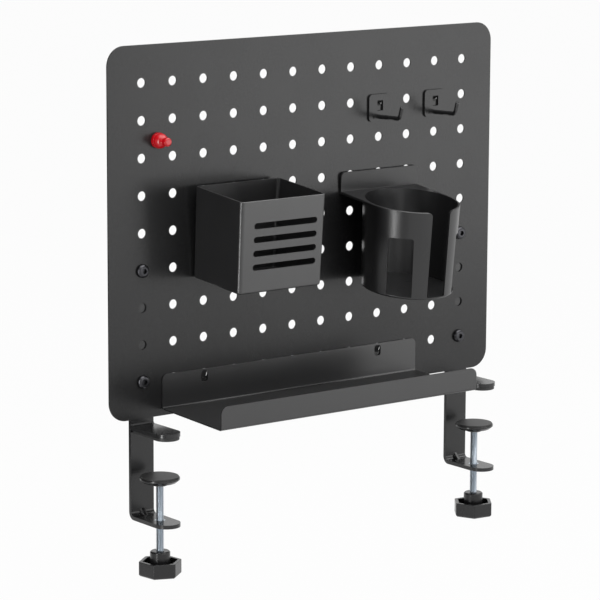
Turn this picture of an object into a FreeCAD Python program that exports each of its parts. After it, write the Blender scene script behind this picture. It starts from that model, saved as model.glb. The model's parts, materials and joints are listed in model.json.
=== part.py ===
"""Pegboard that clamps to the back edge of a desk, with a tray, a pen box, a cup holder and two hooks.

Millimetres, +Z up, +Y away from the person at the desk. The origin is on the desk's top surface,
at its back edge, midway between the two clamps.
"""
import FreeCAD
import Part
import math
import os

# Peg panel: one flat sheet with a grid of round holes
panel_width = 500.0
panel_height = 380.0
panel_sheet = 1.5
panel_corner = 20.0
panel_lift = 14.0            # bottom edge above the desk
peg_radius = 4.9
peg_columns = 12
peg_rows = 9
peg_side_margin = 41.0       # panel's side edge to the outer columns
peg_end_margin = 38.0        # panel's top or bottom edge to the outer rows

# Clamp frames: a steel strip behind the panel, bent forward under the desk
strip_width = 28.0
strip_sheet = 4.0
strip_above_bolt = 15.5      # top end above the upper bolt
tongue_reach = 57.0          # front end of both tongues, from the desk edge
bend_inside = 4.0
throat_height = 86.0         # desk surface down to the lower tongue's top
rib_width = 6.0
rib_round = 2.0
rib_leg = 6.5
frame_bolt_radius = 4.5
frame_bolt_rows = (0, 3)

# Upper jaws: a tongue with a tenon through the strip, and a rubber pad under it
jaw_pad_sheet = 3.5
jaw_pad_inset = 0.8
jaw_pad_start = 3.0
tenon_width = 16.0
weld_leg = 2.0

# Clamp screws, their nuts and their turning feet
screw_radius = 4.0
screw_clearance = 0.05
screw_from_edge = 31.0       # axis in front of the desk edge
nut_barrel_radius = 5.5
nut_flange_radius = 7.5
nut_flange = 2.4
foot_gap = 40.0              # desk surface down to the foot's pad, as photographed
foot_radius = 20.5
foot_pad_radius = 19.5
foot_pad_sheet = 1.5
foot_pad_round = 0.5
foot_edge = 2.0
foot_edge_round = 0.6
foot_bevel = 3.0
foot_bevel_radius = 17.0
foot_hub_radius = 8.0
foot_hub_length = 3.0
foot_recess_radius = 8.0
foot_recess = 3.0
neck_radius = 3.0
neck_groove_radius = 2.5
neck_play = 0.1              # shoulder to hub, and clip to recess
neck_above_clip = 0.7
clip_sheet = 0.8
clip_radius = 5.5
clip_mouth = 4.2

# Knobs: a round hub standing in a hollow hexagonal grip, moulded over the screw's hexagon head
knob_hub_radius = 10.35
knob_hub_chamfer = 1.2
knob_below_desk = 118.0
knob_hub_stand = 10.3
knob_grip = 15.3
knob_grip_radius = 22.5
knob_grip_wall = 3.5
knob_grip_recess = 8.0
knob_grip_edge = 2.2
knob_grip_chamfer = 1.6
knob_turns = {"left": -82.0, "right": -66.0}
hex_flats = 13.0
screw_head = 5.3
screw_head_recess = 1.5

# Button-head bolts through panel and strip, with hexagon nuts behind
bolt_radius = 4.0
bolt_head_radius = 7.0
bolt_head = 4.4
bolt_head_rim = 1.2
bolt_shoulder_out_share = 0.86
bolt_shoulder_up_share = 0.79
bolt_socket_flats = 5.0
bolt_socket = 2.6
bolt_past_nut = 2.5
panel_nut = 6.5
panel_nut_chamfer = 0.8

# Hanging: how accessories sit in the peg holes
hang_gap = 0.2               # back face to panel
seat_clearance = 0.2         # tab or hook above the hole's lower edge
tab_tip_round = 2.2
peg_hook_width = 7.0
peg_hook_neck = 3.0
peg_hook_leg = 2.2
peg_hook_drop = 3.0
peg_hook_round = 1.0

# Tray: one folded sheet with open ends
tray_sheet = 1.2
tray_past_tab = 52.5         # middle of a tab to the tray's end
tray_depth = 105.0           # front face, from the panel's back
tray_rise = 4.8              # top of the back flange above its row of holes
tray_back = 36.3
tray_lip = 24.8
tray_fall = 2.5              # slope of the floor, down to the front
tray_bend_inside = 1.5
tray_back_corner = 6.0
tray_lip_corner = 8.0
tray_columns = (2, 8)
tray_row = 0
tray_window_width = 8.5
tray_window_height = 11.4
tray_window_rise = 2.9       # top of the window above the middle of the hole
tray_window_corner = 2.5
tray_tab_width = 7.0

# Pen box: moulded, open top, four slots in its front
box_wall = 1.8
box_width = 107.0
box_depth = 80.5
box_height = 94.9
box_draft_side = 1.3
box_draft_front = 0.1
box_corner = 4.6
box_bottom_edge = 2.6
box_rim_round = 0.6
box_lean = 3.8
box_fall = 1.6               # how much further the rim and floor fall to the front
box_rise = 6.1               # back rim above its row of holes
box_columns = (2, 4)
box_row = 5
slot_count = 4
slot_length = 79.2
slot_height = 6.4
slot_pitch = 14.15
slot_below_rim = 25.7
slot_shift = 3.1

# Cup holder: a moulded cup hanging from a ledge with a flat upstand behind it
cup_wall = 2.5
cup_radius = 51.6
cup_foot_radius = 48.6
cup_height = 93.5
cup_from_back = 55.8         # middle of the cup, from the back of the upstand
cup_lean = 3.6
cup_fall = 3.8               # how much further the ledge, rim and floor fall to the front
cup_upstand = 20.4
cup_upstand_side = 0.9       # past each end of the ledge
cup_upstand_sheet = 2.2
cup_upstand_corner = 5.0
cup_ledge = 2.6
cup_rim_round = 1.1
cup_foot_edge = 2.0
cup_rise = 4.0               # top of the upstand above its row of holes
cup_columns = (7, 9)
cup_row = 5
handle_slot_width = 23.5
handle_slot_corner = 4.5
window_width = 27.0
window_top = 35.0
window_corner = 3.0
window_turn = 50.0           # each window's middle, round from the front slot

# Hooks: a square plate with a bent rod
hook_columns = (8, 10)
hook_row = 7
hook_plate_width = 29.5
hook_plate_height = 29.0
hook_plate_sheet = 2.0
hook_plate_corner = 4.5
hook_plate_rise = 7.3        # top of the plate above the middle of the hole
hook_window_width = 7.8
hook_window_height = 11.0
hook_window_rise = 0.7
hook_window_corner = 1.0
hook_tab_width = 6.4
hook_rod_radius = 2.3
hook_rod_below = 17.0        # rod below the middle of the hole
hook_rod_reach = 38.3
hook_rod_bend = 6.0
hook_rod_tip = 15.0
hook_rod_turn = 72.5
hook_rod_rise = 2.0          # slope of the straight part
hook_rod_round = 0.8
hook_dimple_radius = 1.25
hook_dimple = 0.8
hook_dimple_side = 9.0

# Push pin with a magnet in its base: a rim, a domed body, a waist and a small head
pin_column = 0
pin_row = 6
pin_beside_hole = 19.5
pin_above_hole = 17.0
pin_base_radius = 8.1
pin_base_rim = 2.5
pin_groove_radius = 7.3
pin_groove = 1.0
pin_body_radius = 7.8
pin_body = 7.6
pin_body_out_share = 0.86
pin_body_up_share = 0.62
pin_waist_radius = 3.6
pin_waist = 2.4
pin_neck_share = 1.15
pin_head_radius = 4.5
pin_head = 5.5
pin_head_round = 1.9
magnet_radius = 6.0
magnet_sheet = 2.5
pin_gap = 0.3

overrun = 1.0                # how far every cutting body passes the face it cuts
parallel_share = 0.999

AXIS_X = FreeCAD.Vector(1, 0, 0)
AXIS_Y = FreeCAD.Vector(0, 1, 0)
AXIS_Z = FreeCAD.Vector(0, 0, 1)
ORIGIN = FreeCAD.Vector(0, 0, 0)


# Places that several pieces share

PEG_PITCH = (panel_width - 2 * peg_side_margin) / (peg_columns - 1)
PEG_RISE = (panel_height - 2 * peg_end_margin) / (peg_rows - 1)


def peg_x(column):
    """Across position of a column of holes, counted from the left."""
    return (column - (peg_columns - 1) / 2) * PEG_PITCH


def peg_z(row):
    """Height of a row of holes, counted from the bottom."""
    return panel_lift + peg_end_margin + row * PEG_RISE


def peg_floor(row, width):
    """Height at which something flat of this width rests on the lower edge of a round hole."""
    return peg_z(row) - math.sqrt(peg_radius ** 2 - (width / 2) ** 2) + seat_clearance


def column_middle(columns):
    """Across position midway between two columns of holes."""
    return (peg_x(columns[0]) + peg_x(columns[1])) / 2


CLAMP_X = {"left": peg_x(0), "right": peg_x(peg_columns - 1)}
HANG_Y = -panel_sheet - hang_gap                       # back face of what hangs flat on the panel
TONGUE_TOP = -throat_height
TONGUE_BOTTOM = TONGUE_TOP - strip_sheet
STRIP_TOP = peg_z(frame_bolt_rows[1]) + strip_above_bolt
FOOT_PAD_TOP = -foot_gap
FOOT_TOP = FOOT_PAD_TOP - foot_pad_sheet
FOOT_HUB_TOP = FOOT_TOP - foot_edge - foot_bevel
FOOT_BOTTOM = FOOT_HUB_TOP - foot_hub_length
SCREW_SHOULDER = FOOT_BOTTOM - neck_play
CLIP_BOTTOM = FOOT_TOP - foot_recess + neck_play
NECK_TOP = CLIP_BOTTOM + clip_sheet + neck_above_clip
GRIP_TOP = -knob_below_desk - knob_hub_stand
GRIP_BOTTOM = GRIP_TOP - knob_grip
HEAD_BOTTOM = GRIP_BOTTOM + screw_head_recess
HEAD_TOP = HEAD_BOTTOM + screw_head


# Drawing helpers

def extrude(points, travel):
    """Solid from a closed outline of straight lines."""
    outline = Part.makePolygon(points + points[:1])
    return Part.Face(outline).extrude(travel)


def revolve(radii_heights):
    """Solid of revolution about Z from points given as radius and height."""
    points = [FreeCAD.Vector(radius, 0, height) for radius, height in radii_heights]
    outline = Part.makePolygon(points + points[:1])
    return Part.Face(outline).revolve(ORIGIN, AXIS_Z, 360)


def edges_along(shape, axis, chosen=lambda middle: True):
    """Straight edges parallel to an axis whose middle point is chosen."""
    found = []
    for edge in shape.Edges:
        if isinstance(edge.Curve, Part.Line) and chosen(edge.CenterOfMass):
            if abs(edge.tangentAt(edge.FirstParameter).dot(axis)) > parallel_share:
                found.append(edge)
    return found


def circles_at(shape, height):
    """Full circles about Z at one height."""
    found = []
    for edge in shape.Edges:
        if isinstance(edge.Curve, Part.Circle) and abs(edge.Curve.Center.z - height) < seat_clearance:
            found.append(edge)
    return found


def rounded_outline(width, height, radius, middle):
    """Rounded rectangle standing in the XZ plane."""
    x = width / 2 - radius
    z = height / 2 - radius
    diagonal = radius * math.sqrt(0.5)
    edges = []
    corners = [(x, z, 1, 1), (-x, z, -1, 1), (-x, -z, -1, -1), (x, -z, 1, -1)]
    for corner_x, corner_z, side_x, side_z in corners:
        flat_end = FreeCAD.Vector(corner_x + side_x * radius, 0, corner_z)
        round_middle = FreeCAD.Vector(corner_x + side_x * diagonal, 0, corner_z + side_z * diagonal)
        tall_end = FreeCAD.Vector(corner_x, 0, corner_z + side_z * radius)
        edges.append(Part.Arc(flat_end, round_middle, tall_end).toShape())
    right, left = width / 2, -width / 2
    top, bottom = height / 2, -height / 2
    edges.append(Part.makeLine(FreeCAD.Vector(-x, 0, top), FreeCAD.Vector(x, 0, top)))
    edges.append(Part.makeLine(FreeCAD.Vector(-x, 0, bottom), FreeCAD.Vector(x, 0, bottom)))
    edges.append(Part.makeLine(FreeCAD.Vector(left, 0, -z), FreeCAD.Vector(left, 0, z)))
    edges.append(Part.makeLine(FreeCAD.Vector(right, 0, -z), FreeCAD.Vector(right, 0, z)))
    outline = Part.Wire(Part.__sortEdges__(edges))
    outline.translate(middle)
    return outline


def hexagon(flats, height, turn=0.0):
    """Upright hexagonal prism about Z."""
    radius = flats / math.sqrt(3)
    points = []
    for corner in range(6):
        angle = math.radians(turn) + corner * math.pi / 3
        points.append(FreeCAD.Vector(radius * math.cos(angle), radius * math.sin(angle), 0))
    return extrude(points, AXIS_Z * height)


def tongue_plate(start, top, sheet, inset=0.0):
    """Flat tongue with a half-round nose."""
    half = strip_width / 2 - inset
    nose_start = strip_width / 2 - tongue_reach
    root_right = FreeCAD.Vector(half, start, top)
    root_left = FreeCAD.Vector(-half, start, top)
    right = FreeCAD.Vector(half, nose_start, top)
    left = FreeCAD.Vector(-half, nose_start, top)
    nose = FreeCAD.Vector(0, -tongue_reach + inset, top)
    edges = [Part.makeLine(left, root_left), Part.makeLine(root_left, root_right)]
    edges.append(Part.makeLine(root_right, right))
    edges.append(Part.Arc(right, nose, left).toShape())
    return Part.Face(Part.Wire(edges)).extrude(AXIS_Z * -sheet)


def lanced_tab(width, drop, sheet, face_y, root_z, floor_z):
    """Tongue cut from a sheet and bent back, aimed so that it rests on the hole's lower back edge."""
    angle = math.atan2(-face_y, root_z - floor_z)
    mitre = sheet * math.tan(angle / 2)
    along = FreeCAD.Vector(0, math.sin(angle), -math.cos(angle))
    across = FreeCAD.Vector(0, math.cos(angle), math.sin(angle))
    front_root = FreeCAD.Vector(-width / 2, face_y, root_z)
    back_root = front_root + FreeCAD.Vector(0, sheet, mitre)
    front_tip = front_root + along * drop
    back_tip = front_tip + across * sheet
    tab = extrude([front_root, front_tip, back_tip, back_root], AXIS_X * width)
    tip_z = (front_tip.z + back_tip.z) / 2
    corners = edges_along(tab, across, lambda middle: middle.z < tip_z + sheet)
    return tab.makeFillet(tab_tip_round, corners)


def window(width, height, top_z, corner, across, start_y, depth):
    """Cutting body for a round-cornered window in an upright sheet."""
    middle = FreeCAD.Vector(across, start_y, top_z - height / 2)
    outline = rounded_outline(width, height, corner, middle)
    return Part.Face(outline).extrude(AXIS_Y * depth)


def peg_hook(across, row, wall_y):
    """Moulded hook: a neck through the hole and a leg down behind the panel."""
    floor_z = peg_floor(row, peg_hook_width)
    top_z = floor_z + peg_hook_neck
    front_y = hang_gap
    back_y = front_y + peg_hook_leg
    outline = [(wall_y, floor_z), (front_y, floor_z), (front_y, floor_z - peg_hook_drop)]
    outline += [(back_y, floor_z - peg_hook_drop), (back_y, top_z), (wall_y, top_z)]
    start = across - peg_hook_width / 2
    hook = extrude([FreeCAD.Vector(start, y, z) for y, z in outline], AXIS_X * peg_hook_width)
    crest = edges_along(hook, AXIS_X, lambda m: m.y > front_y + seat_clearance)
    return hook.makeFillet(peg_hook_round, crest)


def lean_back(shape, angle, across, height):
    """Lean a piece forward about its lower back edge and set that edge against the panel."""
    shape.rotate(ORIGIN, AXIS_X, angle)
    shape.translate(FreeCAD.Vector(across, HANG_Y, height))
    return shape


# Peg panel

def peg_panel():
    """Sheet with rounded corners and its full grid of holes."""
    middle = FreeCAD.Vector(0, -panel_sheet, panel_lift + panel_height / 2)
    wires = [rounded_outline(panel_width, panel_height, panel_corner, middle)]
    for column in range(peg_columns):
        for row in range(peg_rows):
            centre = FreeCAD.Vector(peg_x(column), -panel_sheet, peg_z(row))
            wires.append(Part.Wire(Part.makeCircle(peg_radius, centre, AXIS_Y)))
    sheet = Part.makeFace(wires, "Part::FaceMakerBullseye")
    return sheet.extrude(AXIS_Y * panel_sheet)


# Clamps

def clamp_frame():
    """Strip bent forward into the lower tongue, with bolt holes, a jaw slot and a corner rib."""
    outside = bend_inside + strip_sheet
    half = strip_width / 2
    upright = Part.makeBox(strip_width, strip_sheet, STRIP_TOP - TONGUE_BOTTOM)
    upright.translate(FreeCAD.Vector(-half, 0, TONGUE_BOTTOM))
    frame = upright.fuse(tongue_plate(strip_sheet, TONGUE_TOP, strip_sheet)).removeSplitter()
    inner = edges_along(frame, AXIS_X, lambda m: abs(m.y) + abs(m.z - TONGUE_TOP) < overrun)
    frame = frame.makeFillet(bend_inside, inner)
    heel = (strip_sheet, TONGUE_BOTTOM)
    outer = edges_along(frame, AXIS_X, lambda m: abs(m.y - heel[0]) + abs(m.z - heel[1]) < overrun)
    frame = frame.makeFillet(outside, outer)
    crown = edges_along(frame, AXIS_Y, lambda m: m.z > STRIP_TOP - overrun)
    frame = frame.makeFillet(bend_inside, crown)
    frame = frame.fuse(corner_rib()).removeSplitter()
    cuts = [Part.makeCylinder(nut_barrel_radius, strip_sheet + 2 * overrun)]
    cuts[0].translate(FreeCAD.Vector(0, -screw_from_edge, TONGUE_BOTTOM - overrun))
    for row in frame_bolt_rows:
        start = FreeCAD.Vector(0, -overrun, peg_z(row))
        cuts.append(Part.makeCylinder(frame_bolt_radius, strip_sheet + 2 * overrun, start, AXIS_Y))
    slot = Part.makeBox(tenon_width, strip_sheet + 2 * overrun, strip_sheet)
    slot.translate(FreeCAD.Vector(-tenon_width / 2, -overrun, jaw_pad_sheet))
    cuts.append(slot)
    return frame.cut(cuts)


def corner_rib():
    """Small stamped rib that stiffens the inside of the bend."""
    start = -rib_width / 2
    corner = (strip_sheet / 2, TONGUE_TOP - strip_sheet / 2)
    outline = [corner, (corner[0], TONGUE_TOP + rib_leg), (0, TONGUE_TOP + rib_leg)]
    outline += [(-rib_leg, TONGUE_TOP), (-rib_leg, corner[1])]
    rib = extrude([FreeCAD.Vector(start, y, z) for y, z in outline], AXIS_X * rib_width)
    slope_y = -rib_leg / 2
    sides = [edge for edge in rib.Edges if abs(edge.CenterOfMass.y - slope_y) < seat_clearance
             and abs(edge.CenterOfMass.z - TONGUE_TOP - rib_leg / 2) < seat_clearance]
    return rib.makeFillet(rib_round, sides)


def upper_jaw():
    """Tongue on the desk's top, with its tenon through the strip and the weld along its root."""
    top = jaw_pad_sheet + strip_sheet
    jaw = tongue_plate(0, top, strip_sheet)
    tenon = Part.makeBox(tenon_width, strip_sheet, strip_sheet)
    tenon.translate(FreeCAD.Vector(-tenon_width / 2, 0, jaw_pad_sheet))
    jaw = jaw.fuse([tenon, weld_bead(top)]).removeSplitter()
    return jaw


def weld_bead(top):
    """Hollow weld along the root, between the tongue's top and the strip's face."""
    corner = FreeCAD.Vector(-strip_width / 2, 0, top)
    up = corner + AXIS_Z * weld_leg
    out = corner - AXIS_Y * weld_leg
    bow = corner + FreeCAD.Vector(0, -weld_leg, weld_leg) * (1 - math.sqrt(0.5))
    edges = [Part.makeLine(out, corner), Part.makeLine(corner, up), Part.Arc(up, bow, out).toShape()]
    return Part.Face(Part.Wire(edges)).extrude(AXIS_X * strip_width)


def jaw_pad():
    """Rubber pad between the tongue and the desk."""
    return tongue_plate(-jaw_pad_start, jaw_pad_sheet, jaw_pad_sheet, jaw_pad_inset)


def clinch_nut():
    """Round nut pressed into the lower tongue from below."""
    bore = screw_radius + screw_clearance
    flange_bottom = TONGUE_BOTTOM - nut_flange
    outline = [(bore, TONGUE_TOP), (nut_barrel_radius, TONGUE_TOP), (nut_barrel_radius, TONGUE_BOTTOM)]
    outline += [(nut_flange_radius, TONGUE_BOTTOM), (nut_flange_radius, flange_bottom)]
    outline += [(bore, flange_bottom)]
    return revolve(outline)


def pressure_disc():
    """Round foot that turns on the screw's neck: flat rim, bevelled back and a hub."""
    bore = neck_radius + screw_clearance
    recess_floor = FOOT_TOP - foot_recess
    outline = [(foot_recess_radius, FOOT_TOP), (foot_radius, FOOT_TOP)]
    outline += [(foot_radius, FOOT_TOP - foot_edge), (foot_bevel_radius, FOOT_HUB_TOP)]
    outline += [(foot_hub_radius, FOOT_HUB_TOP), (foot_hub_radius, FOOT_BOTTOM), (bore, FOOT_BOTTOM)]
    outline += [(bore, recess_floor), (foot_recess_radius, recess_floor)]
    disc = revolve(outline)
    return disc.makeFillet(foot_edge_round, circles_at(disc, FOOT_TOP - foot_edge))


def disc_pad():
    """Rubber face of the foot."""
    pad = Part.makeCylinder(foot_pad_radius, foot_pad_sheet)
    pad.translate(FreeCAD.Vector(0, 0, FOOT_TOP))
    return pad.makeFillet(foot_pad_round, circles_at(pad, FOOT_PAD_TOP))


def retaining_clip():
    """Open ring in the neck's groove, which keeps the foot on the screw."""
    outer = Part.makeCylinder(clip_radius, clip_sheet)
    inner = Part.makeCylinder(neck_groove_radius + screw_clearance, clip_sheet)
    mouth = Part.makeBox(clip_mouth, clip_radius + overrun, clip_sheet)
    mouth.translate(FreeCAD.Vector(-clip_mouth / 2, 0, 0))
    clip = outer.cut([inner, mouth])
    clip.translate(FreeCAD.Vector(0, 0, CLIP_BOTTOM))
    return clip


def clamp_screw():
    """Long screw with a grooved neck for the foot and a hexagon head inside the knob."""
    groove_bottom = CLIP_BOTTOM - neck_play / 2
    groove_top = CLIP_BOTTOM + clip_sheet + neck_play / 2
    outline = [(0, HEAD_TOP), (screw_radius, HEAD_TOP), (screw_radius, SCREW_SHOULDER)]
    outline += [(neck_radius, SCREW_SHOULDER), (neck_radius, groove_bottom)]
    outline += [(neck_groove_radius, groove_bottom), (neck_groove_radius, groove_top)]
    outline += [(neck_radius, groove_top), (neck_radius, NECK_TOP), (0, NECK_TOP)]
    head = hexagon(hex_flats, screw_head)
    head.translate(FreeCAD.Vector(0, 0, HEAD_BOTTOM))
    return revolve(outline).fuse(head).removeSplitter()


def clamp_knob(turn):
    """Hollow hexagonal grip around a tall hub, moulded over the screw's head."""
    outer_flats = knob_grip_radius * math.sqrt(3)
    grip = hexagon(outer_flats, knob_grip, turn)
    grip = grip.makeFillet(knob_grip_edge, edges_along(grip, AXIS_Z))
    rim = [edge for edge in grip.Edges if edge.CenterOfMass.z < seat_clearance]
    grip = grip.makeChamfer(knob_grip_chamfer, rim)
    hollow = hexagon(outer_flats - 2 * knob_grip_wall, knob_grip_recess + overrun, turn)
    hollow = hollow.makeFillet(knob_grip_edge, edges_along(hollow, AXIS_Z))
    hollow.translate(FreeCAD.Vector(0, 0, knob_grip - knob_grip_recess))
    hub_height = knob_grip + knob_hub_stand
    hub = Part.makeCylinder(knob_hub_radius, hub_height)
    hub = hub.makeChamfer(knob_hub_chamfer, circles_at(hub, hub_height))
    foot = hub.common(Part.makeBox(outer_flats, outer_flats, hub_height - knob_grip_chamfer,
                                   FreeCAD.Vector(-outer_flats / 2, -outer_flats / 2, knob_grip_chamfer)))
    knob = grip.cut(hollow).fuse(foot)
    rod = Part.makeCylinder(screw_radius, hub_height + overrun)
    pocket = hexagon(hex_flats, screw_head + screw_head_recess + overrun)
    pocket.translate(FreeCAD.Vector(0, 0, -overrun))
    knob = knob.cut([rod, pocket]).removeSplitter()
    knob.translate(FreeCAD.Vector(0, 0, GRIP_BOTTOM))
    return knob


# Panel fasteners

def button_bolt():
    """Button-head bolt along +Y with its head on the panel's front."""
    back = panel_sheet + strip_sheet + panel_nut + bolt_past_nut
    outline = [(0, -back), (bolt_radius, -back), (bolt_radius, 0), (bolt_head_radius, 0)]
    outline += [(bolt_head_radius, bolt_head_rim)]
    points = [FreeCAD.Vector(radius, 0, height) for radius, height in outline]
    crown = FreeCAD.Vector(0, 0, bolt_head)
    flat = FreeCAD.Vector(bolt_head_radius / 2, 0, bolt_head)
    shoulder = FreeCAD.Vector(bolt_head_radius * bolt_shoulder_out_share, 0,
                              bolt_head * bolt_shoulder_up_share)
    edges = [Part.makeLine(start, end) for start, end in zip(points, points[1:])]
    edges.append(Part.Arc(points[-1], shoulder, flat).toShape())
    edges.append(Part.makeLine(flat, crown))
    edges.append(Part.makeLine(crown, points[0]))
    bolt = Part.Face(Part.Wire(edges)).revolve(ORIGIN, AXIS_Z, 360)
    socket = hexagon(bolt_socket_flats, bolt_socket + overrun)
    socket.translate(FreeCAD.Vector(0, 0, bolt_head - bolt_socket))
    bolt = bolt.cut(socket)
    bolt.rotate(ORIGIN, AXIS_X, 90)
    bolt.translate(FreeCAD.Vector(0, -panel_sheet, 0))
    return bolt


def hexagon_nut():
    """Nut behind the strip, with both ends chamfered round."""
    nut = hexagon(hex_flats, panel_nut)
    corner = hex_flats / math.sqrt(3)
    flat = hex_flats / 2
    outline = [(0, 0), (flat, 0), (corner, panel_nut_chamfer), (corner, panel_nut - panel_nut_chamfer)]
    outline += [(flat, panel_nut), (0, panel_nut)]
    nut = nut.common(revolve(outline)).cut(Part.makeCylinder(bolt_radius, panel_nut))
    nut.rotate(ORIGIN, AXIS_X, -90)
    nut.translate(FreeCAD.Vector(0, strip_sheet, 0))
    return nut


def pair_of(make):
    """One fastener at each bolt of a strip."""
    copies = []
    for row in frame_bolt_rows:
        piece = make()
        piece.translate(FreeCAD.Vector(0, 0, peg_z(row)))
        copies.append(piece)
    return Part.makeCompound(copies)


# Tray

def tray_under(y):
    """Height of the floor's underside, which falls to the front."""
    fall = math.tan(math.radians(tray_fall))
    return peg_z(tray_row) + tray_rise - tray_back + (y - HANG_Y) * fall


def edges_at(shape, places):
    """Edges across the tray that start at one of some depths and heights."""
    return edges_along(shape, AXIS_X, lambda middle: any(
        abs(middle.y - y) + abs(middle.z - z) < tray_sheet / 2 for y, z in places))


def tray():
    """Folded sheet: back flange with two lanced tabs, sloping floor and front lip."""
    top = peg_z(tray_row) + tray_rise
    face_y = HANG_Y - tray_sheet
    front = -tray_depth
    inner_front = front + tray_sheet
    upper = tray_sheet / math.cos(math.radians(tray_fall))
    lip_top = tray_under(front) + tray_lip
    outside = [(HANG_Y, tray_under(HANG_Y)), (front, tray_under(front))]
    inside = [(inner_front, tray_under(inner_front) + upper), (face_y, tray_under(face_y) + upper)]
    outline = [(HANG_Y, top)] + outside + [(front, lip_top), (inner_front, lip_top)] + inside
    outline += [(face_y, top)]
    start = peg_x(tray_columns[0]) - tray_past_tab
    length = peg_x(tray_columns[1]) + tray_past_tab - start
    channel = extrude([FreeCAD.Vector(start, y, z) for y, z in outline], AXIS_X * length)
    channel = channel.makeFillet(tray_bend_inside + tray_sheet, edges_at(channel, outside))
    channel = channel.makeFillet(tray_bend_inside, edges_at(channel, inside))
    back_ends = edges_along(channel, AXIS_Y, lambda m: m.z > top - tray_sheet)
    channel = channel.makeFillet(tray_back_corner, back_ends)
    lip_ends = edges_along(channel, AXIS_Y, lambda m: abs(m.z - lip_top) < tray_sheet / 2)
    channel = channel.makeFillet(tray_lip_corner, lip_ends)
    root = peg_z(tray_row) + tray_window_rise
    floor_z = peg_floor(tray_row, tray_tab_width)
    for column in tray_columns:
        across = peg_x(column)
        opening = window(tray_window_width, tray_window_height, root, tray_window_corner,
                         across, face_y - overrun, tray_sheet + 2 * overrun)
        tab = lanced_tab(tray_tab_width, tray_window_height, tray_sheet, face_y, root, floor_z)
        tab.translate(AXIS_X * across)
        channel = channel.cut(opening).fuse(tab)
    return channel.removeSplitter()


# Pen box

def box_outline(half_width, front, back, height, radius):
    """Rounded rectangle at one height of the box's back, falling to the front."""
    depth = back - front
    outline = rounded_outline(2 * half_width, depth, radius, ORIGIN)
    outline.rotate(ORIGIN, AXIS_X, 90)
    outline.translate(FreeCAD.Vector(0, (front + back) / 2, height))
    outline.rotate(FreeCAD.Vector(0, 0, height), AXIS_X, box_fall)
    return outline


def front_rim():
    """Height of the rim at the front wall."""
    return box_height - box_depth * math.sin(math.radians(box_fall))


def box_body(wall, floor, top):
    """Solid between two rounded rectangles, drawn in by the wall, with the box's draft."""
    half = box_width / 2 - wall
    side_share = box_draft_side / box_height
    front_share = box_draft_front / box_height
    low = box_height - floor
    high = box_height - top
    corner = box_corner - wall / 2
    base = box_outline(half - low * side_share, -box_depth + wall + low * front_share, -wall, floor, corner)
    rim = box_outline(half - high * side_share, -box_depth + wall + high * front_share, -wall, top, corner)
    return Part.makeLoft([base, rim], True, True)


def front_slots():
    """Long round-ended slots through the front wall."""
    cuts = []
    for index in range(slot_count):
        height = front_rim() - slot_below_rim - index * slot_pitch
        middle = FreeCAD.Vector(slot_shift, -box_depth - overrun, height)
        radius = slot_height / 2
        outline = rounded_outline(slot_length, slot_height, radius * parallel_share, middle)
        cuts.append(Part.Face(outline).extrude(AXIS_Y * (box_draft_front + box_wall + 2 * overrun)))
    return cuts


def pen_box():
    """Drafted shell that leans forward, hung on two moulded hooks."""
    body = box_body(0, 0, box_height)
    bottom = [edge for edge in body.Edges if edge.BoundBox.ZMax < seat_clearance]
    body = body.makeFillet(box_bottom_edge, bottom)
    rim = [edge for edge in body.Edges if edge.BoundBox.ZMin > front_rim() - seat_clearance]
    body = body.makeFillet(box_rim_round, rim)
    shell = body.cut([box_body(box_wall, box_wall, box_height + overrun)] + front_slots())
    across = column_middle(box_columns)
    lean = math.radians(box_lean)
    bottom_z = peg_z(box_row) + box_rise - box_height * math.cos(lean)
    shell = lean_back(shell, box_lean, across, bottom_z)
    wall_y = HANG_Y - (peg_z(box_row) - bottom_z) * math.tan(lean) - box_wall / 2
    hooks = [peg_hook(peg_x(column), box_row, wall_y) for column in box_columns]
    return shell.fuse(hooks).removeSplitter()


# Cup holder

def cup_wall_at(depth):
    """Outer radius of the cup at a depth below the ledge."""
    return cup_radius - (cup_radius - cup_foot_radius) * depth / cup_height


def falling_slab(top, thickness):
    """Wide slab parallel to the cup's rim, which falls to the front."""
    reach = 2 * (cup_from_back + cup_radius)
    start = FreeCAD.Vector(-reach / 2, -reach, top - thickness)
    slab = Part.makeBox(reach, 2 * reach, thickness, start)
    slab.rotate(ORIGIN, AXIS_X, cup_fall)
    return slab


def cup_cone(wall, floor):
    """Tapered round body, drawn in by a wall and cut level with the rim and a floor."""
    low = cup_height + cup_from_back
    high = cup_ledge
    radius_low = cup_wall_at(low) - wall
    radius_high = cup_wall_at(-high) - wall
    cone = Part.makeCone(radius_low, radius_high, low + high)
    cone.translate(FreeCAD.Vector(0, -cup_from_back, -low))
    return cone.common(falling_slab(0, -floor))


def cup_ledge_body():
    """Ledge behind the cup, as wide as the cup where the two meet."""
    half = cup_half_width()
    depth = cup_from_back
    block = Part.makeBox(2 * half, depth, depth, FreeCAD.Vector(-half, -depth, -depth))
    ledge = block.common(falling_slab(0, cup_ledge))
    sides = [edge for edge in ledge.Edges if abs(edge.CenterOfMass.z + rim_fall(depth / 2)) < seat_clearance
             and abs(edge.CenterOfMass.x) > half - seat_clearance]
    return ledge.makeFillet(cup_rim_round, sides)


def rim_fall(distance):
    """How far the rim's plane has fallen at a distance from the back."""
    return distance * math.tan(math.radians(cup_fall))


def cup_half_width():
    """Half the width of ledge and upstand: the cup's radius where the ledge meets it."""
    return cup_wall_at(rim_fall(cup_from_back))


def cup_back():
    """Flat upstand behind the ledge, with rounded top corners."""
    height = cup_upstand + cup_ledge
    half = cup_half_width() + cup_upstand_side
    start = FreeCAD.Vector(-half, -cup_upstand_sheet, -cup_ledge)
    plate = Part.makeBox(2 * half, cup_upstand_sheet, height, start)
    crown = edges_along(plate, AXIS_Y, lambda middle: middle.z > 0)
    return plate.makeFillet(cup_upstand_corner, crown)


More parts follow.
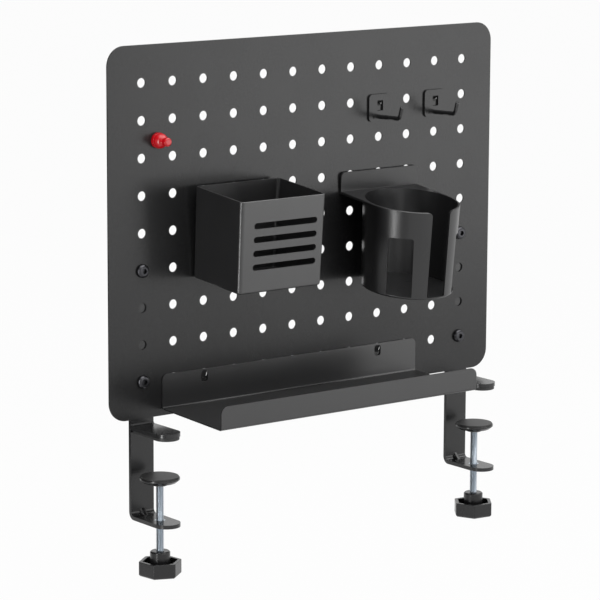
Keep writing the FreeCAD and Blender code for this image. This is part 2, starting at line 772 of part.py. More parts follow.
def cup_side_cut(turn):
    """Cutting body for a tall window in the cup's wall, square to the radius and down to the floor."""
    middle = FreeCAD.Vector(0, -cup_radius - overrun, -window_top - cup_height / 2)
    outline = rounded_outline(window_width, cup_height, window_corner, middle)
    cut = Part.Face(outline).extrude(AXIS_Y * (cup_radius / 2))
    cut.rotate(ORIGIN, AXIS_Z, turn)
    cut.translate(AXIS_Y * -cup_from_back)
    return cut.cut(falling_slab(cup_wall - cup_height, 2 * cup_height))


def handle_slot_cut():
    """Cutting body for the handle slot, open at the rim, where both of its edges round outwards."""
    bottom = -cup_height
    half = handle_slot_width / 2
    flared = half + handle_slot_corner
    inset = handle_slot_corner * (1 - math.sqrt(0.5))
    outline_y = -cup_from_back - cup_radius - overrun
    edges = []
    for side in (-1, 1):
        low = FreeCAD.Vector(side * half, outline_y, bottom)
        start = FreeCAD.Vector(side * half, outline_y, -handle_slot_corner)
        middle = FreeCAD.Vector(side * (half + inset), outline_y, -inset)
        end = FreeCAD.Vector(side * flared, outline_y, 0)
        high = FreeCAD.Vector(side * flared, outline_y, overrun)
        edges.append(Part.makeLine(low, start))
        edges.append(Part.Arc(start, middle, end).toShape())
        edges.append(Part.makeLine(end, high))
    edges.append(Part.makeLine(FreeCAD.Vector(-half, outline_y, bottom),
                               FreeCAD.Vector(half, outline_y, bottom)))
    edges.append(Part.makeLine(FreeCAD.Vector(-flared, outline_y, overrun),
                               FreeCAD.Vector(flared, outline_y, overrun)))
    cut = Part.Face(Part.Wire(Part.__sortEdges__(edges))).extrude(AXIS_Y * (cup_radius / 2))
    cut.translate(AXIS_Z * -rim_fall(cup_from_back + cup_radius))
    return cut.cut(falling_slab(cup_wall - cup_height, 2 * cup_height))


def cup_shell():
    """Tapered cup under its ledge, with a rounded rim, a handle slot and two windows."""
    floor = -cup_height + cup_wall
    outside = cup_cone(0, -cup_height)
    low = min(outside.Edges, key=lambda edge: edge.CenterOfMass.z)
    outside = outside.makeFillet(cup_foot_edge, [low])
    high = max(outside.Edges, key=lambda edge: edge.CenterOfMass.z)
    outside = outside.makeFillet(cup_rim_round, [high])
    cuts = [cup_cone(cup_wall, floor), handle_slot_cut()]
    for side in (-1, 1):
        cuts.append(cup_side_cut(side * window_turn))
    return outside.fuse(cup_ledge_body()).cut(cuts)


def cup_holder():
    """Cup on its upstand, leaning on the panel and hung on two moulded hooks."""
    solid = cup_shell().fuse(cup_back())
    solid.translate(AXIS_Z * cup_ledge)
    across = column_middle(cup_columns)
    lean = math.radians(cup_lean)
    back_bottom = peg_z(cup_row) + cup_rise - (cup_upstand + cup_ledge) * math.cos(lean)
    solid = lean_back(solid, cup_lean, across, back_bottom)
    wall_y = HANG_Y - (peg_z(cup_row) - back_bottom) * math.tan(lean) - cup_upstand_sheet / 2
    hooks = [peg_hook(peg_x(column), cup_row, wall_y) for column in cup_columns]
    return solid.fuse(hooks).removeSplitter()


# Hooks

def hook_face_y():
    """Front face of a hook's plate."""
    return HANG_Y - hook_plate_sheet


def hook_plate():
    """Square plate with a lanced tab, two dimples and the rod's hole."""
    top = peg_z(hook_row) + hook_plate_rise
    middle = FreeCAD.Vector(0, hook_face_y(), top - hook_plate_height / 2)
    outline = rounded_outline(hook_plate_width, hook_plate_height, hook_plate_corner, middle)
    plate = Part.Face(outline).extrude(AXIS_Y * hook_plate_sheet)
    root = peg_z(hook_row) + hook_window_rise
    cuts = [window(hook_window_width, hook_window_height, root, hook_window_corner, 0,
                   hook_face_y() - overrun, hook_plate_sheet + 2 * overrun)]
    rod_z = peg_z(hook_row) - hook_rod_below
    start = FreeCAD.Vector(0, HANG_Y, rod_z) - rod_direction(hook_rod_rise) * overrun
    bore = Part.makeCylinder(hook_rod_radius, hook_plate_sheet + 2 * overrun, start,
                             rod_direction(hook_rod_rise))
    cuts.append(bore)
    for side in (-1, 1):
        centre = FreeCAD.Vector(side * hook_dimple_side, hook_face_y() - overrun, rod_z)
        cuts.append(Part.makeCylinder(hook_dimple_radius, hook_dimple + overrun, centre, AXIS_Y))
    floor_z = peg_floor(hook_row, hook_tab_width)
    tab = lanced_tab(hook_tab_width, hook_window_height, hook_plate_sheet, hook_face_y(), root, floor_z)
    return plate.cut(cuts).fuse(tab).removeSplitter()


def rod_direction(slope):
    """Forward direction at a slope in degrees above level."""
    return FreeCAD.Vector(0, -math.cos(math.radians(slope)), math.sin(math.radians(slope)))


def hook_rod():
    """Round rod riveted in the plate: gently rising, then one bend up to the tip."""
    rise = math.radians(hook_rod_rise)
    back = FreeCAD.Vector(0, HANG_Y, peg_z(hook_row) - hook_rod_below)
    out = rod_direction(hook_rod_rise)
    start = back + out * (hook_rod_radius * math.tan(rise))
    bend_start = back + out * ((hook_rod_reach - hook_rod_bend + HANG_Y) / math.cos(rise))
    centre = bend_start + rod_direction(hook_rod_rise + 90) * hook_rod_bend
    bend_middle = centre + rod_direction((hook_rod_rise + hook_rod_turn) / 2 - 90) * hook_rod_bend
    bend_end = centre + rod_direction(hook_rod_turn - 90) * hook_rod_bend
    tip = bend_end + rod_direction(hook_rod_turn) * (hook_rod_tip - hook_rod_bend)
    straight = Part.makeLine(start, bend_start)
    bend = Part.Arc(bend_start, bend_middle, bend_end).toShape()
    upturn = Part.makeLine(bend_end, tip)
    path = Part.Wire([straight, bend, upturn])
    ring = Part.Wire(Part.makeCircle(hook_rod_radius, start, out))
    rod = path.makePipeShell([ring], True, True)
    ends = [edge for edge in rod.Edges if edge.CenterOfMass.sub(tip).Length < hook_rod_radius / 2]
    return rod.makeFillet(hook_rod_round, ends)


# Push pin

def push_pin_cap():
    """Round pin along -Y: a rim with a groove above it, a domed body, a waist and a small head."""
    body_start = pin_base_rim + pin_groove
    body_end = body_start + pin_body
    head_start = body_end + pin_waist
    head_end = head_start + pin_head
    neck = pin_waist_radius * pin_neck_share
    inset = pin_head_round * (1 - math.sqrt(0.5))
    low = [(0, 0), (pin_base_radius, 0), (pin_base_radius, pin_base_rim)]
    dome = (pin_body_radius * pin_body_out_share, body_start + pin_body * pin_body_up_share)
    arcs = [
        (low[-1], (pin_groove_radius, pin_base_rim + pin_groove / 2), (pin_body_radius, body_start)),
        ((pin_body_radius, body_start), dome, (neck, body_end)),
        ((neck, body_end), (pin_waist_radius, body_end + pin_waist / 2), (neck, head_start)),
        ((neck, head_start), (pin_head_radius - inset, head_start + inset),
         (pin_head_radius, head_start + pin_head_round)),
        ((pin_head_radius, head_end - pin_head_round), (pin_head_radius - inset, head_end - inset),
         (pin_head_radius - pin_head_round, head_end)),
    ]
    edges = [Part.makeLine(at_height(a), at_height(b)) for a, b in zip(low, low[1:])]
    edges += [Part.Arc(at_height(a), at_height(b), at_height(c)).toShape() for a, b, c in arcs]
    edges.append(Part.makeLine(at_height(arcs[3][2]), at_height(arcs[4][0])))
    edges.append(Part.makeLine(at_height(arcs[4][2]), at_height((0, head_end))))
    edges.append(Part.makeLine(at_height((0, head_end)), ORIGIN))
    profile = Part.Wire(Part.__sortEdges__(edges))
    cap = Part.Face(profile).revolve(ORIGIN, AXIS_Z, 360)
    return on_panel(cap.cut(Part.makeCylinder(magnet_radius, magnet_sheet)))


def at_height(radius_height):
    """Point of a turned profile."""
    return FreeCAD.Vector(radius_height[0], 0, radius_height[1])


def push_pin_magnet():
    """Disc magnet, flush with the back of the base."""
    return on_panel(Part.makeCylinder(magnet_radius, magnet_sheet))


def on_panel(shape):
    """Stand a turned piece on the panel's front at the pin's place."""
    shape.rotate(ORIGIN, AXIS_X, 90)
    across = peg_x(pin_column) + pin_beside_hole
    shape.translate(FreeCAD.Vector(across, -panel_sheet - pin_gap, peg_z(pin_row) + pin_above_hole))
    return shape


# Writing the nodes

def at_screw(shape, side):
    """Move a turned piece from the origin onto a clamp's screw axis."""
    shape.translate(FreeCAD.Vector(CLAMP_X[side], -screw_from_edge, 0))
    return shape


def at_strip(shape, side):
    """Move a piece to a clamp."""
    shape.translate(FreeCAD.Vector(CLAMP_X[side], 0, 0))
    return shape


def clamp_nodes(side):
    """All pieces of one clamp."""
    return {
        f"{side}_clamp_frame": at_strip(clamp_frame(), side),
        f"{side}_upper_jaw": at_strip(upper_jaw(), side),
        f"{side}_jaw_pad": at_strip(jaw_pad(), side),
        f"{side}_panel_bolts": at_strip(pair_of(button_bolt), side),
        f"{side}_panel_nuts": at_strip(pair_of(hexagon_nut), side),
        f"{side}_clinch_nut": at_screw(clinch_nut(), side),
        f"{side}_pressure_disc": at_screw(pressure_disc(), side),
        f"{side}_disc_pad": at_screw(disc_pad(), side),
        f"{side}_retaining_clip": at_screw(retaining_clip(), side),
        f"{side}_clamp_screw": at_screw(clamp_screw(), side),
        f"{side}_clamp_knob": at_screw(clamp_knob(knob_turns[side]), side),
    }


def hook_nodes(side, column):
    """Plate and rod of one hook."""
    plate = hook_plate()
    rod = hook_rod()
    for piece in (plate, rod):
        piece.translate(AXIS_X * peg_x(column))
    return {f"{side}_hook_plate": plate, f"{side}_hook_rod": rod}


def all_nodes():
    """Every node of the part by name."""
    nodes = {"peg_panel": peg_panel()}
    for side in ("left", "right"):
        nodes.update(clamp_nodes(side))
    nodes["tray"] = tray()
    nodes["pen_box"] = pen_box()
    nodes["cup_holder"] = cup_holder()
    for side, column in zip(("left", "right"), hook_columns):
        nodes.update(hook_nodes(side, column))
    nodes["push_pin_cap"] = push_pin_cap()
    nodes["push_pin_magnet"] = push_pin_magnet()
    return nodes


os.makedirs("parts", exist_ok=True)
for name, shape in all_nodes().items():
    shape.exportStep(os.path.join("parts", name + ".step"))
    print(name, len(shape.Solids), round(shape.Volume), shape.isValid())
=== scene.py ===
"""Looks for the clamp-on desk pegboard: finishes, rounded edges, screw threads, light and camera.

Metres, in the same frame as the solids: +Z up, +Y away from the person at the desk, origin on the
desk's top at its back edge.
"""
import bmesh
import bpy
import json
import math
from mathutils import Matrix, Vector


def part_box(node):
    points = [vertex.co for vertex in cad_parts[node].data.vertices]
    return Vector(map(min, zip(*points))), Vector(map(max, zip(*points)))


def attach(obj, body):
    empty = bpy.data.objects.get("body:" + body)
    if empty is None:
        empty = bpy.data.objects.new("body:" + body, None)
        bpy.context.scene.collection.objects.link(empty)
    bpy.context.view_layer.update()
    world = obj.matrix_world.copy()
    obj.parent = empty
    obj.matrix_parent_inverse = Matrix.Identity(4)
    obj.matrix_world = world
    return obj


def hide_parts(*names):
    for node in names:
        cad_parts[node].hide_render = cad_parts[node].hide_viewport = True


MM = 0.001
PIXELS = 600
SENSOR = 36.0

# Camera, fitted to the panel's grid of holes
FOCAL_PIXELS = 3046.8
VIEW_TURN = math.radians(-37.4)
VIEW_DOWN = math.radians(10.32)
VIEW_ROLL = math.radians(0.25)
VIEW_DISTANCE = 3185.6 * MM
VIEW_RIGHT = 7.5 * MM
VIEW_UP = 89.1 * MM
VIEW_AIM = Vector((0, -1.5, 204.5)) * MM

# Screw thread, M8 coarse
THREAD_PITCH = 1.25 * MM
THREAD_CREST = 4.0 * MM
THREAD_ROOT = 3.42 * MM
THREAD_PLAY = 0.05 * MM
THREAD_STEPS = 20
THREAD_FLANK_SHARE = 0.46
THREAD_FREE_TURNS = 1

# Sockets of the node that mixes two colours, which it lists by number
MIX_DARK = 6
MIX_LIGHT = 7
MIX_RESULT = 2

# Surfaces and rounded edges, with angles in degrees
MERGE_DISTANCE = 0.002 * MM
FLAT_ANGLE = 0.3
SHARP_ANGLE = 30
EDGE_SEGMENTS = 2
EDGE_SHADING_REACH = 50
THREAD_SHADING_REACH = 35

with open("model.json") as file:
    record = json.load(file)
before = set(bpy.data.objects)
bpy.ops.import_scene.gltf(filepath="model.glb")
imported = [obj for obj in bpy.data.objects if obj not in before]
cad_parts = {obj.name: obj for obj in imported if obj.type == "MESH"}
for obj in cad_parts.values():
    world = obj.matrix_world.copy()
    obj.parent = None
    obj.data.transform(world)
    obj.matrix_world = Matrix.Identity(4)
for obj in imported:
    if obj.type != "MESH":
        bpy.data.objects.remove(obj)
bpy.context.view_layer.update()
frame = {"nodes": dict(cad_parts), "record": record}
nodes = frame["nodes"]
SIDES = ("left", "right")


# Shader maths

class Ink:
    """One shader socket, which adds its own Math nodes when it is used in a sum."""

    def __init__(self, finish, socket):
        self.finish = finish
        self.socket = socket

    def math(self, operation, *values):
        inputs = dict(enumerate(values))
        return self.finish.node("ShaderNodeMath", {"operation": operation}, inputs).out(0)

    def __add__(self, other):
        return self.math("ADD", self, other)

    def __radd__(self, other):
        return self.math("ADD", other, self)

    def __sub__(self, other):
        return self.math("SUBTRACT", self, other)

    def __rsub__(self, other):
        return self.math("SUBTRACT", other, self)

    def __mul__(self, other):
        return self.math("MULTIPLY", self, other)

    def __rmul__(self, other):
        return self.math("MULTIPLY", other, self)


class Step:
    """A placed node, whose outputs are taken by name or number."""

    def __init__(self, finish, node):
        self.finish = finish
        self.node = node

    def out(self, name):
        return Ink(self.finish, self.node.outputs[name])


class Finish:
    """A material and the tree that gives it its colour, grain and gloss."""

    def __init__(self, name, color, roughness, **fixed):
        self.material = bpy.data.materials.new(name)
        self.material.use_nodes = True
        self.tree = self.material.node_tree
        self.tree.nodes.clear()
        self.shader = self.node("ShaderNodeBsdfPrincipled", {}, {"Roughness": roughness})
        self.shader.node.inputs["Base Color"].default_value = (*color, 1)
        for socket, value in fixed.items():
            self.shader.node.inputs[socket.replace("_", " ")].default_value = value
        surface = {"Surface": self.shader.out("BSDF")}
        self.output = self.node("ShaderNodeOutputMaterial", {}, surface)
        self.place = self.node("ShaderNodeTexCoord").out("Object")

    def node(self, kind, settings=None, inputs=None):
        made = self.tree.nodes.new(kind)
        for name, value in (settings or {}).items():
            setattr(made, name, value)
        for name, value in (inputs or {}).items():
            self.feed(made.inputs[name], value)
        return Step(self, made)

    def feed(self, socket, value):
        if isinstance(value, Ink):
            self.tree.links.new(value.socket, socket)
        else:
            socket.default_value = value

    def set(self, name, value):
        self.feed(self.shader.node.inputs[name], value)

    def noise(self, size, detail=2.0, stretch=(1, 1, 1)):
        """Soft noise whose bumps are about this size in metres, from -0.5 to 0.5."""
        place = self.node("ShaderNodeMapping", {}, {"Vector": self.place, "Scale": stretch})
        inputs = {"Vector": place.out("Vector"), "Scale": 1 / size, "Detail": detail}
        return self.node("ShaderNodeTexNoise", {}, inputs).out("Fac") - 0.5

    def tint(self, dark, light, mask):
        """Base colour between two colours by a mask from 0 to 1."""
        mix = self.node("ShaderNodeMix", {"data_type": "RGBA"}, {"Factor": mask})
        mix.node.inputs[MIX_DARK].default_value = (*dark, 1)
        mix.node.inputs[MIX_LIGHT].default_value = (*light, 1)
        self.set("Base Color", Ink(self, mix.node.outputs[MIX_RESULT]))

    def bump(self, height, depth):
        """Raise the surface by a height pattern of about this depth in metres."""
        inputs = {"Height": height, "Distance": depth, "Strength": 1.0}
        self.set("Normal", self.node("ShaderNodeBump", {}, inputs).out("Normal"))


def shade(color, factor):
    return tuple(channel * factor for channel in color)


def powder_coat(name, color, roughness, gloss=0.5):
    """Satin powder paint with a faint orange peel."""
    finish = Finish(name, color, roughness, IOR=1.5, Specular_IOR_Level=gloss)
    peel = finish.noise(1.6 * MM, detail=1.0)
    fine = finish.noise(0.35 * MM)
    cloud = finish.noise(40 * MM)
    finish.tint(shade(color, 0.9), shade(color, 1.1), 0.5 + cloud)
    finish.bump(peel * 0.7 + fine * 0.3, 0.02 * MM)
    finish.set("Roughness", roughness + cloud * 0.06 + fine * 0.04)
    return finish


def moulded(name, color, roughness, gloss=0.5):
    """Moulded plastic with a fine spark-eroded grain."""
    finish = Finish(name, color, roughness, IOR=1.5, Specular_IOR_Level=gloss)
    grain = finish.noise(0.3 * MM, detail=3.0)
    flow = finish.noise(18 * MM, stretch=(1, 1, 0.4))
    finish.tint(shade(color, 0.85), shade(color, 1.15), 0.5 + flow)
    finish.bump(grain, 0.02 * MM)
    finish.set("Roughness", roughness + flow * 0.06 + grain * 0.05)
    return finish


def plated(name, color, roughness):
    """Bright plating with fine turning marks and a faint blue cloud."""
    finish = Finish(name, color, roughness, Metallic=1.0)
    cloud = finish.noise(6 * MM)
    marks = finish.noise(0.25 * MM, detail=1.0, stretch=(0.1, 0.1, 1))
    finish.tint(shade(color, 0.92), shade(color, 1.04), 0.5 + cloud)
    finish.set("Roughness", roughness + cloud * 0.08 + marks * 0.05)
    return finish


def oxide(name, color, roughness):
    """Black oxide on steel, worn a little brighter in places."""
    finish = Finish(name, color, roughness, Metallic=1.0)
    wear = finish.noise(1.5 * MM, detail=3.0)
    finish.tint(shade(color, 0.8), shade(color, 1.3), 0.5 + wear)
    finish.set("Roughness", roughness + wear * 0.12)
    return finish


def rubber(name, color, roughness):
    """Matt moulded rubber."""
    finish = Finish(name, color, roughness, IOR=1.5)
    grain = finish.noise(0.5 * MM, detail=3.0)
    finish.bump(grain, 0.03 * MM)
    finish.set("Roughness", roughness + grain * 0.1)
    return finish


def glossy(name, color, roughness):
    """Glossy coloured plastic with a trace of unevenness in its polish."""
    finish = Finish(name, color, roughness, IOR=1.5)
    cloud = finish.noise(4 * MM)
    finish.tint(shade(color, 0.93), shade(color, 1.05), 0.5 + cloud)
    finish.set("Roughness", roughness + cloud * 0.06)
    return finish


FINISHES = {
    "panel_coat": powder_coat("panel_coat", (0.010, 0.010, 0.0103), roughness=0.27, gloss=0.38),
    "clamp_coat": powder_coat("clamp_coat", (0.012, 0.012, 0.0125), roughness=0.24),
    "accessory_coat": powder_coat("accessory_coat", (0.013, 0.013, 0.0135), roughness=0.30, gloss=0.74),
    "black_plastic": moulded("black_plastic", (0.013, 0.013, 0.0135), roughness=0.31, gloss=0.96),
    "knob_plastic": moulded("knob_plastic", (0.010, 0.010, 0.0105), roughness=0.26, gloss=0.45),
    "zinc": plated("zinc", (0.52, 0.57, 0.62), roughness=0.40),
    "black_bolt": oxide("black_bolt", (0.05, 0.05, 0.054), roughness=0.30),
    "pad_rubber": rubber("pad_rubber", (0.014, 0.014, 0.014), roughness=0.5),
    "pin_plastic": glossy("pin_plastic", (0.5, 0.002, 0.008), roughness=0.12),
    "magnet": plated("magnet", (0.55, 0.56, 0.58), roughness=0.25),
    "cup_plastic": moulded("cup_plastic", (0.012, 0.012, 0.0125), roughness=0.29, gloss=0.58),
    "rod_coat": powder_coat("rod_coat", (0.012, 0.012, 0.0125), roughness=0.16, gloss=0.6),
}
SLOTS = {part["node"]: part["material_slot"] for part in frame["record"]["subparts"]}
OWN_FINISH = {
    "cup_holder": "cup_plastic",
    "left_hook_plate": "panel_coat",
    "right_hook_plate": "panel_coat",
    "left_hook_rod": "rod_coat",
    "right_hook_rod": "rod_coat",
}


def material_of(node):
    return FINISHES[OWN_FINISH.get(node, SLOTS[node])].material


for name in SLOTS:
    mesh = nodes[name].data
    mesh.materials.clear()
    mesh.materials.append(material_of(name))


# Pieces made from a solid's own surface

def merged_copy(node, name):
    """A copy of a solid's surface with its loose triangles joined and its flat faces made whole."""
    mesh = bpy.data.meshes.new(name)
    sheet = bmesh.new()
    sheet.from_mesh(nodes[node].data)
    sheet.transform(nodes[node].matrix_world)
    bmesh.ops.remove_doubles(sheet, verts=sheet.verts, dist=MERGE_DISTANCE)
    flat = math.radians(FLAT_ANGLE)
    bmesh.ops.dissolve_limit(sheet, angle_limit=flat, verts=sheet.verts, edges=sheet.edges)
    for face in sheet.faces:
        face.smooth = True
    sheet.to_mesh(mesh)
    sheet.free()
    mesh.materials.append(material_of(node))
    obj = bpy.data.objects.new(name, mesh)
    bpy.context.scene.collection.objects.link(obj)
    return obj


def bake(obj):
    """Turn an object's modifiers into its own plain mesh."""
    graph = bpy.context.evaluated_depsgraph_get()
    made = bpy.data.meshes.new_from_object(obj.evaluated_get(graph), depsgraph=graph)
    obj.modifiers.clear()
    obj.data = made
    return obj


def dress(obj, body, node):
    """Let a finished piece ride with a body in place of a solid."""
    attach(obj, body)
    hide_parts(node)


def weigh_normals(mesh, reach):
    """Shade each corner by the faces round it within an angle of its own, large ones most."""
    faces = [(face.normal.copy(), face.normal * face.area) for face in mesh.polygons]
    meeting = [[] for _ in mesh.vertices]
    for face in mesh.polygons:
        for vertex in face.vertices:
            meeting[vertex].append(face.index)
    least = math.cos(math.radians(reach))
    shading = []
    for face in mesh.polygons:
        own = faces[face.index][0]
        for vertex in face.vertices:
            round_it = [faces[other] for other in meeting[vertex]]
            near = [weight for facing, weight in round_it if facing.dot(own) > least]
            shading.append(sum(near, Vector()).normalized())
    mesh.normals_split_custom_set(shading)


def soften(obj, width):
    """Round every sharp edge, as paint or a mould does."""
    bevel = obj.modifiers.new("edges", "BEVEL")
    bevel.limit_method = "ANGLE"
    bevel.angle_limit = math.radians(SHARP_ANGLE)
    bevel.width = width
    bevel.segments = EDGE_SEGMENTS
    bevel.use_clamp_overlap = True
    bake(obj)
    weigh_normals(obj.data, EDGE_SHADING_REACH)
    return obj


def softened(node, body, width):
    """Dress a solid in its own surface with rounded edges."""
    dress(soften(merged_copy(node, node + "_soft"), width), body, node)


# Screw threads

def thread_tree(material):
    """Tree that winds a ridge round a blank from a start point, one turn for each pitch."""
    tree = bpy.data.node_groups.new("screw_thread", "GeometryNodeTree")
    panel = tree.interface
    panel.new_socket("Blank", in_out="INPUT", socket_type="NodeSocketGeometry")
    for name in ("Crest", "Root", "Pitch", "Turns"):
        panel.new_socket(name, in_out="INPUT", socket_type="NodeSocketFloat")
    panel.new_socket("Start", in_out="INPUT", socket_type="NodeSocketVector")
    panel.new_socket("Tilt", in_out="INPUT", socket_type="NodeSocketVector")
    panel.new_socket("Threaded", in_out="OUTPUT", socket_type="NodeSocketGeometry")

    def step(kind, settings=None, inputs=None):
        made = tree.nodes.new(kind)
        for name, value in (settings or {}).items():
            setattr(made, name, value)
        for name, value in (inputs or {}).items():
            if isinstance(value, bpy.types.NodeSocket):
                tree.links.new(value, made.inputs[name])
            else:
                made.inputs[name].default_value = value
        return made

    def sum_of(operation, first, second):
        return step("ShaderNodeMath", {"operation": operation}, {0: first, 1: second}).outputs[0]

    given = tree.nodes.new("NodeGroupInput").outputs
    rise = sum_of("MULTIPLY", given["Pitch"], given["Turns"])
    depth = sum_of("SUBTRACT", given["Crest"], given["Root"])
    helix = step("GeometryNodeCurveSpiral", {}, {
        "Resolution": THREAD_STEPS, "Rotations": given["Turns"], "Start Radius": given["Root"],
        "End Radius": given["Root"], "Height": rise}).outputs[0]
    level = step("GeometryNodeSetCurveNormal", {"mode": "Z_UP"}, {"Curve": helix})
    half = sum_of("MULTIPLY", given["Pitch"], THREAD_FLANK_SHARE)

    def point(out, up):
        return step("ShaderNodeCombineXYZ", {}, {"X": out, "Y": up}).outputs[0]

    ridge = step("GeometryNodeCurvePrimitiveQuadrilateral", {"mode": "POINTS"}, {
        "Point 1": point(depth, 0.0), "Point 2": point(0.0, half),
        "Point 3": point(sum_of("MULTIPLY", depth, -1.0), 0.0),
        "Point 4": point(0.0, sum_of("MULTIPLY", half, -1.0))})
    wound = step("GeometryNodeCurveToMesh", {}, {
        "Curve": level.outputs[0], "Profile Curve": ridge.outputs[0], "Fill Caps": True}).outputs[0]
    placed = step("GeometryNodeTransform", {}, {
        "Geometry": wound, "Translation": given["Start"], "Rotation": given["Tilt"]}).outputs[0]
    joined = step("GeometryNodeJoinGeometry")
    tree.links.new(placed, joined.inputs[0])
    tree.links.new(given["Blank"], joined.inputs[0])
    real = step("GeometryNodeRealizeInstances", {}, {0: joined.outputs[0]}).outputs[0]
    coat = step("GeometryNodeSetMaterial", {}, {"Geometry": real, "Material": material})
    tree.links.new(coat.outputs[0], tree.nodes.new("NodeGroupOutput").inputs[0])
    return tree


def wind(obj, tree, start, turns, tilt=(0, 0, 0)):
    """Add one thread to a blank."""
    modifier = obj.modifiers.new("thread", "NODES")
    modifier.node_group = tree
    sizes = {"Crest": THREAD_CREST - THREAD_PLAY, "Root": THREAD_ROOT, "Pitch": THREAD_PITCH,
             "Turns": float(turns), "Start": start, "Tilt": tilt}
    for item in tree.interface.items_tree:
        if item.in_out == "INPUT" and item.name in sizes:
            modifier[item.identifier] = sizes[item.name]


def arm_of(vertex, centre, across):
    """A vertex's place across an axis, from that axis."""
    return Vector([vertex.co[axis] - centre[axis] for axis in across])


def turn_down(obj, centre, across, along, low, high):
    """Turn a shank from crest to root between two distances along its axis."""
    for vertex in obj.data.vertices:
        arm = arm_of(vertex, centre, across)
        if low <= vertex.co[along] <= high and abs(arm.length - THREAD_CREST) < THREAD_PLAY:
            arm = arm * (THREAD_ROOT / THREAD_CREST)
            for axis, value in zip(across, arm):
                vertex.co[axis] = centre[axis] + value
    return obj


def box_of(node):
    low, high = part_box(node)
    return Vector(low), Vector(high), (Vector(low) + Vector(high)) / 2


def shank_of(obj, centre, across, along):
    """Lowest and highest place along an axis where a blank has its full round."""
    places = [vertex.co[along] for vertex in obj.data.vertices
              if abs(arm_of(vertex, centre, across).length - THREAD_CREST) < THREAD_PLAY]
    return min(places), max(places)


def clamp_screws():
    """Screws threaded from the neck down, with a free stretch at each end of the thread."""
    tree = thread_tree(FINISHES["zinc"].material)
    across, along = (0, 1), 2
    for side in SIDES:
        node = side + "_clamp_screw"
        middle = box_of(node)[2]
        screw = merged_copy(node, side + "_screw_threaded")
        start, end = shank_of(screw, middle, across, along)
        turn_down(screw, middle, across, along, start, end)
        first = start + THREAD_FREE_TURNS * THREAD_PITCH
        turns = (end - start) / THREAD_PITCH - 2 * THREAD_FREE_TURNS
        wind(screw, tree, (middle.x, middle.y, first), turns)
        weigh_normals(bake(screw).data, THREAD_SHADING_REACH)
        dress(screw, side + "_screw", node)


def panel_bolts():
    """Bolts with threaded ends behind their nuts."""
    tree = thread_tree(FINISHES["black_bolt"].material)
    across, along = (0, 2), 1
    for side in SIDES:
        node = side + "_panel_bolts"
        low, high, middle = box_of(node)
        nuts_back = box_of(side + "_panel_nuts")[1].y
        bolts = merged_copy(node, side + "_bolts_threaded")
        radius = (high.x - low.x) / 2
        for height in (low.z + radius, high.z - radius):
            centre = Vector((middle.x, 0, height))
            turn_down(bolts, centre, across, along, nuts_back - THREAD_PITCH, high.y)
            end = high.y - THREAD_PITCH / 2
            turns = (end - nuts_back) / THREAD_PITCH
            wind(bolts, tree, (middle.x, end, height), turns, (math.pi / 2, 0, 0))
        weigh_normals(bake(bolts).data, THREAD_SHADING_REACH)
        dress(bolts, "frame", node)


clamp_screws()
panel_bolts()

softened("peg_panel", "frame", 0.3 * MM)
softened("tray", "tray", 0.35 * MM)
softened("pen_box", "pen_box", 0.5 * MM)
softened("cup_holder", "cup_holder", 0.6 * MM)
for side in SIDES:
    softened(side + "_clamp_frame", "frame", 0.5 * MM)
    softened(side + "_upper_jaw", "frame", 0.6 * MM)
    softened(side + "_jaw_pad", "frame", 0.5 * MM)
    softened(side + "_clamp_knob", side + "_screw", 0.8 * MM)
    softened(side + "_pressure_disc", side + "_foot", 0.3 * MM)
    softened(side + "_hook_plate", side + "_hook", 0.3 * MM)


# Studio, in metres and watts

CAMERA_NEAR = 0.1
CAMERA_FAR = 50
WHITE_RAYS = ("Is Camera Ray", "Is Glossy Ray", "Is Transmission Ray")
MATTE = 0.9
FLOOR_REACH = 20.0
FLOOR_HEIGHT = -0.30
FLOOR_COLOR = (0.55, 0.55, 0.55)
FLOOR_WHITE_SHARE = 0.965
WORLD_LIGHT = 0.35
CARD_COLOR = (0.01, 0.01, 0.01)
CARD_FOOT = -0.29
LAMP_AIM = (0, 0, 0.2)

# Each card's two ends on plan, and its top
CARDS = {
    "left_card": ((-1.5, -0.25), (-0.2, 1.6), 1.6),
    "front_left_card": ((-1.07, -1.19), (-1.38, -0.74), 1.2),
}

# Each lamp's place, its width and height, and its power
LAMPS = {
    "key": ((1.75, -1.95, 0.1), (1.2, 0.9), 8),
    "front": ((0.45, -2.6, 0.4), (0.9, 1.0), 7),
    "left_strip": ((-1.06, -0.29, 0.15), (0.12, 0.9), 4.5),
    "top": ((0.3, -0.35, 1.6), (2.4, 1.8), 40),
}


def upright(turn, down, roll):
    """Turn of a camera that looks along +Y, turned, tipped down and rolled."""
    level = Matrix.Rotation(turn, 4, "Z") @ Matrix.Rotation(math.pi / 2 - down, 4, "X")
    return level @ Matrix.Rotation(roll, 4, "Z")


def place_camera():
    camera = bpy.data.objects.new("camera", bpy.data.cameras.new("camera"))
    bpy.context.scene.collection.objects.link(camera)
    camera.data.sensor_width = SENSOR
    camera.data.lens = FOCAL_PIXELS * SENSOR / PIXELS
    camera.data.clip_start = CAMERA_NEAR
    camera.data.clip_end = CAMERA_FAR
    turned = upright(VIEW_TURN, VIEW_DOWN, VIEW_ROLL)
    back = turned @ Vector((-VIEW_RIGHT, -VIEW_UP, VIEW_DISTANCE))
    camera.matrix_world = Matrix.Translation(VIEW_AIM + back) @ turned
    bpy.context.scene.camera = camera


def lamp(name, place, size, power):
    data = bpy.data.lights.new(name, "AREA")
    data.shape = "RECTANGLE"
    data.size, data.size_y = size
    data.energy = power
    obj = bpy.data.objects.new(name, data)
    bpy.context.scene.collection.objects.link(obj)
    obj.location = place
    obj.rotation_euler = (Vector(LAMP_AIM) - Vector(place)).to_track_quat("-Z", "Y").to_euler()


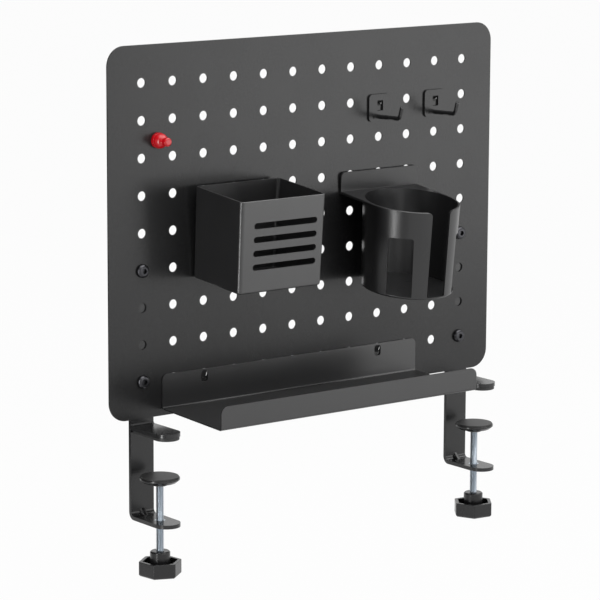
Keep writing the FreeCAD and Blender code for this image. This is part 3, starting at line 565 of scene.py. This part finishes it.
def background_rays(finish):
    """1 for the rays that see the white background: straight, mirrored or let through."""
    path = finish.node("ShaderNodeLightPath")
    seen = path.out(WHITE_RAYS[0])
    for other in WHITE_RAYS[1:]:
        seen = seen.math("MAXIMUM", seen, path.out(other))
    return seen


def paper(name, color, share):
    """Pale paper that is mostly an even white to the rays that see the background."""
    finish = Finish(name, color, MATTE, Specular_IOR_Level=0.0)
    light = finish.node("ShaderNodeEmission", {}, {"Strength": 1.0})
    mix = finish.node("ShaderNodeMixShader", {}, {0: background_rays(finish) * share})
    finish.feed(mix.node.inputs[1], finish.shader.out("BSDF"))
    finish.feed(mix.node.inputs[2], light.out("Emission"))
    finish.feed(finish.output.node.inputs["Surface"], mix.out(0))
    return finish.material


def stage_sheet(name, corners, material):
    mesh = bpy.data.meshes.new(name)
    mesh.from_pydata([Vector(corner) for corner in corners], [], [list(range(len(corners)))])
    mesh.materials.append(material)
    obj = bpy.data.objects.new(name, mesh)
    bpy.context.scene.collection.objects.link(obj)
    return obj


def floor():
    low, high = -FLOOR_REACH, FLOOR_REACH
    corners = [(x, y, FLOOR_HEIGHT) for x, y in ((low, low), (high, low), (high, high), (low, high))]
    stage_sheet("floor", corners, paper("floor_paper", FLOOR_COLOR, FLOOR_WHITE_SHARE))


def black_card(name, start, end, top):
    """Upright black card that darkens what the object mirrors, unseen by the camera itself."""
    corners = [(*start, CARD_FOOT), (*end, CARD_FOOT), (*end, top), (*start, top)]
    finish = Finish(name, CARD_COLOR, MATTE, Specular_IOR_Level=0.0)
    card = stage_sheet(name, corners, finish.material)
    card.visible_camera = False
    card.visible_diffuse = False
    card.visible_shadow = False


def light_world():
    world = bpy.data.worlds.new("studio")
    bpy.context.scene.world = world
    world.use_nodes = True
    tree = world.node_tree
    tree.nodes.clear()
    path = tree.nodes.new("ShaderNodeLightPath")
    seen = path.outputs[WHITE_RAYS[0]]
    for other in WHITE_RAYS[1:]:
        either = tree.nodes.new("ShaderNodeMath")
        either.operation = "MAXIMUM"
        tree.links.new(seen, either.inputs[0])
        tree.links.new(path.outputs[other], either.inputs[1])
        seen = either.outputs[0]
    dim = tree.nodes.new("ShaderNodeBackground")
    dim.inputs["Strength"].default_value = WORLD_LIGHT
    bright = tree.nodes.new("ShaderNodeBackground")
    for light in (dim, bright):
        light.inputs["Color"].default_value = (1, 1, 1, 1)
    mix = tree.nodes.new("ShaderNodeMixShader")
    output = tree.nodes.new("ShaderNodeOutputWorld")
    tree.links.new(seen, mix.inputs[0])
    tree.links.new(dim.outputs[0], mix.inputs[1])
    tree.links.new(bright.outputs[0], mix.inputs[2])
    tree.links.new(mix.outputs[0], output.inputs["Surface"])


floor()
light_world()
for name, (start, end, top) in CARDS.items():
    black_card(name, start, end, top)
for name, (place, size, power) in LAMPS.items():
    lamp(name, place, size, power)
place_camera()
bpy.context.scene.view_settings.view_transform = "Standard"
